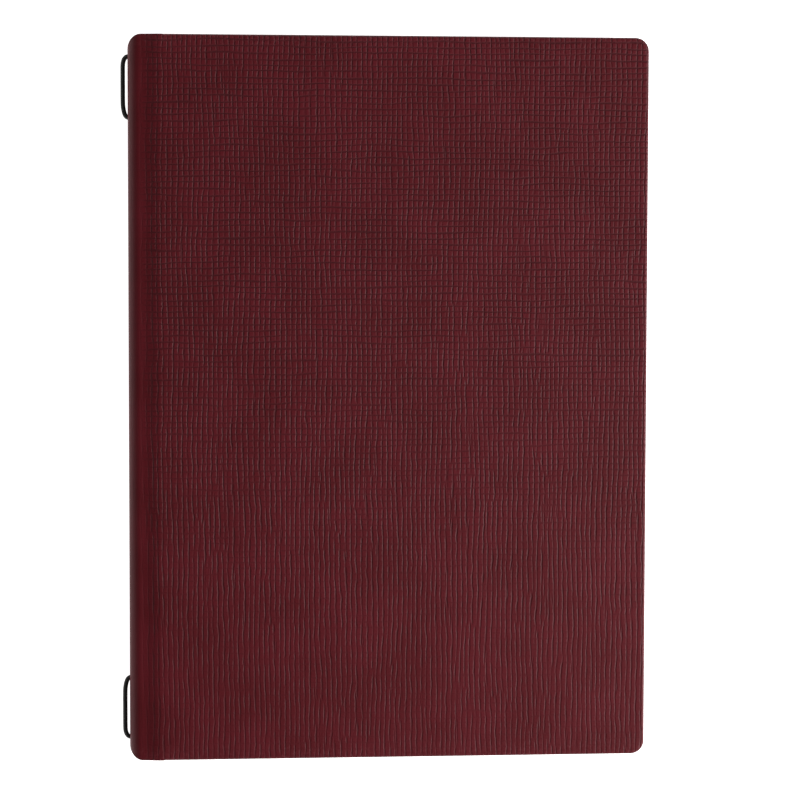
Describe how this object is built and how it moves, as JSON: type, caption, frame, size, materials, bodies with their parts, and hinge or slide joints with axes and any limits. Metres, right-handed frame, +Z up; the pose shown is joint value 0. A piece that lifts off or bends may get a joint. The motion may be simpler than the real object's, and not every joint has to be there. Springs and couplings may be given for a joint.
{
  "type": "coin album",
  "caption": "Portrait album with soft burgundy covers; clear coin-pocket leaves held by a black elastic cord that loops out of the spine.",
  "frame": {"origin": "middle of the footprint (elastic loops included) on the outer face of the back cover", "axes": "+X from the spine to the fore-edge, +Y towards the head, +Z up through the closed book to the front cover"},
  "size_m": [0.233, 0.32, 0.0165],
  "materials": {
    "leatherette": "cross-grain embossed, satin",
    "greyboard": "matte",
    "lining_paper": "matte",
    "elastic": "braided",
    "crimp_steel": "satin",
    "pocket_film": "clear, glossy",
    "insert_card": "matte"
  },
  "bodies": {
    "back_cover": {"back_cover_wrap": "leatherette", "back_cover_board": "greyboard", "back_cover_lining": "lining_paper"},
    "spine": {"spine_wrap": "leatherette", "spine_strip": "greyboard", "spine_lining": "lining_paper", "elastic_cord": "elastic", "cord_crimp": "crimp_steel", "outer_page_fold": "pocket_film", "middle_page_fold": "pocket_film", "inner_page_fold": "pocket_film"},
    "front_cover": {"front_cover_wrap": "leatherette", "front_cover_board": "greyboard", "front_cover_lining": "lining_paper"},
    "leaf_1": {"leaf_1_front_pockets": "pocket_film", "leaf_1_card": "insert_card", "leaf_1_back_pockets": "pocket_film"},
    "leaf_2": {"leaf_2_front_pockets": "pocket_film", "leaf_2_card": "insert_card", "leaf_2_back_pockets": "pocket_film"},
    "leaf_3": {"leaf_3_front_pockets": "pocket_film", "leaf_3_card": "insert_card", "leaf_3_back_pockets": "pocket_film"},
    "leaf_4": {"leaf_4_front_pockets": "pocket_film", "leaf_4_card": "insert_card", "leaf_4_back_pockets": "pocket_film"},
    "leaf_5": {"leaf_5_front_pockets": "pocket_film", "leaf_5_card": "insert_card", "leaf_5_back_pockets": "pocket_film"},
    "leaf_6": {"leaf_6_front_pockets": "pocket_film", "leaf_6_card": "insert_card", "leaf_6_back_pockets": "pocket_film"}
  },
  "joints": [
    {"name": "front_cover_open", "type": "hinge", "parent": "spine", "child": "front_cover", "pos_m": [-0.11184, 0, 0.01369], "axis": [0, -1, 0], "range_deg": [0, 90]},
    {"name": "spine_lift", "type": "hinge", "parent": "back_cover", "child": "spine", "pos_m": [-0.11184, 0, 0.00281], "axis": [0, -1, 0], "range_deg": [0, 90]},
    {"name": "leaf_1_turn", "type": "hinge", "parent": "spine", "child": "leaf_1", "pos_m": [-0.1035, 0, 0.01115], "axis": [0, -1, 0], "range_deg": [-92, 92]},
    {"name": "leaf_2_turn", "type": "hinge", "parent": "spine", "child": "leaf_2", "pos_m": [-0.10305, 0, 0.01045], "axis": [0, -1, 0], "range_deg": [-92, 92]},
    {"name": "leaf_3_turn", "type": "hinge", "parent": "spine", "child": "leaf_3", "pos_m": [-0.1026, 0, 0.00975], "axis": [0, -1, 0], "range_deg": [-92, 92]},
    {"name": "leaf_4_turn", "type": "hinge", "parent": "spine", "child": "leaf_4", "pos_m": [-0.1026, 0, 0.00675], "axis": [0, -1, 0], "range_deg": [-92, 92]},
    {"name": "leaf_5_turn", "type": "hinge", "parent": "spine", "child": "leaf_5", "pos_m": [-0.10305, 0, 0.00605], "axis": [0, -1, 0], "range_deg": [-92, 92]},
    {"name": "leaf_6_turn", "type": "hinge", "parent": "spine", "child": "leaf_6", "pos_m": [-0.1035, 0, 0.00535], "axis": [0, -1, 0], "range_deg": [-92, 92]}
  ],
  "couplings": [
    {"joint": "spine_lift", "follows": "front_cover_open", "ratio": 1},
    {"joint": "leaf_1_turn", "follows": "front_cover_open", "ratio": 1.0183},
    {"joint": "leaf_2_turn", "follows": "front_cover_open", "ratio": 1.0072},
    {"joint": "leaf_3_turn", "follows": "front_cover_open", "ratio": 0.99611},
    {"joint": "leaf_4_turn", "follows": "front_cover_open", "ratio": -0.99611},
    {"joint": "leaf_5_turn", "follows": "front_cover_open", "ratio": -1.0072},
    {"joint": "leaf_6_turn", "follows": "front_cover_open", "ratio": -1.0183}
  ]
}
